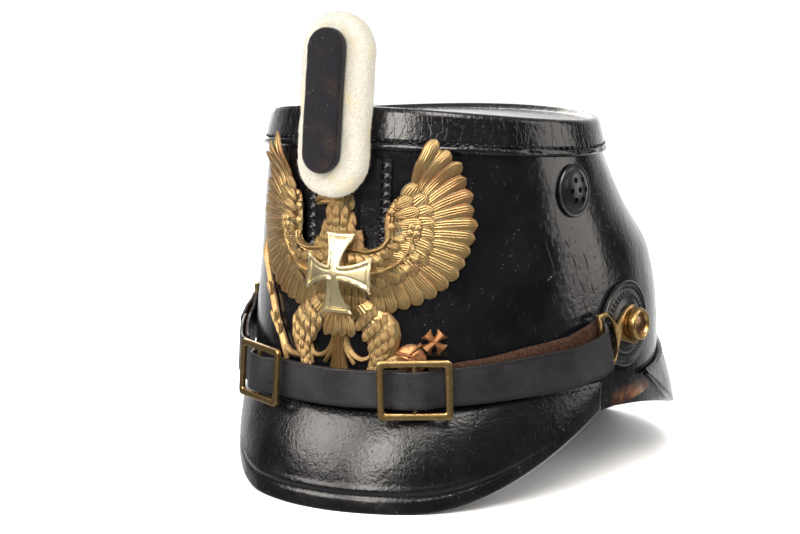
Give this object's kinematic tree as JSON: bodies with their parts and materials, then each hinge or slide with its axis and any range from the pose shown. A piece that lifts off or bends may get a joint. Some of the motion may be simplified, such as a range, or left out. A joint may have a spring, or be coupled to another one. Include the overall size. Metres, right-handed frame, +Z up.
{
  "type": "leather shako",
  "caption": "Tall black leather cap with a saddle-shaped crown top, front peak, neck guard, pierced eagle plate, oval wool badge and buckled chin strap.",
  "frame": {"origin": "on the surface the shako stands on, halfway along its overall width and depth", "axes": "+Z up, -Y towards the front peak and the eagle, +X towards the wearer's left"},
  "size_m": [0.1852, 0.2298, 0.1933],
  "materials": {
    "lacquered_leather": "glossy black lacquer, cracked and worn",
    "strap_leather": "black dyed leather with a satin surface",
    "white_wool": "off-white wool yarn, matte",
    "black_wool": "black wool, matte",
    "stamped_brass": "stamped brass, tarnished in the recesses",
    "brass_fittings": "satin brass with light tarnish",
    "pale_nickel": "pale yellowish nickel, softly polished",
    "blackened_tin": "black enamel, semi-gloss"
  },
  "bodies": {
    "root": {"shell": "lacquered_leather", "crown_top": "lacquered_leather", "front_peak": "lacquered_leather", "neck_guard": "lacquered_leather", "badge_pocket": "lacquered_leather", "badge_pad": "white_wool", "badge_centre": "black_wool", "badge_prong": "brass_fittings", "eagle_plate": "stamped_brass", "eagle_cross": "pale_nickel", "strap_left": "strap_leather", "strap_right": "strap_leather", "buckle_left": "brass_fittings", "buckle_right": "brass_fittings", "post_left": "brass_fittings", "post_right": "brass_fittings", "cockade_left": "blackened_tin", "cockade_right": "blackened_tin", "fitting_left": "brass_fittings", "fitting_right": "brass_fittings", "vent_left": "blackened_tin", "vent_right": "blackened_tin"}
  },
  "joints": []
}
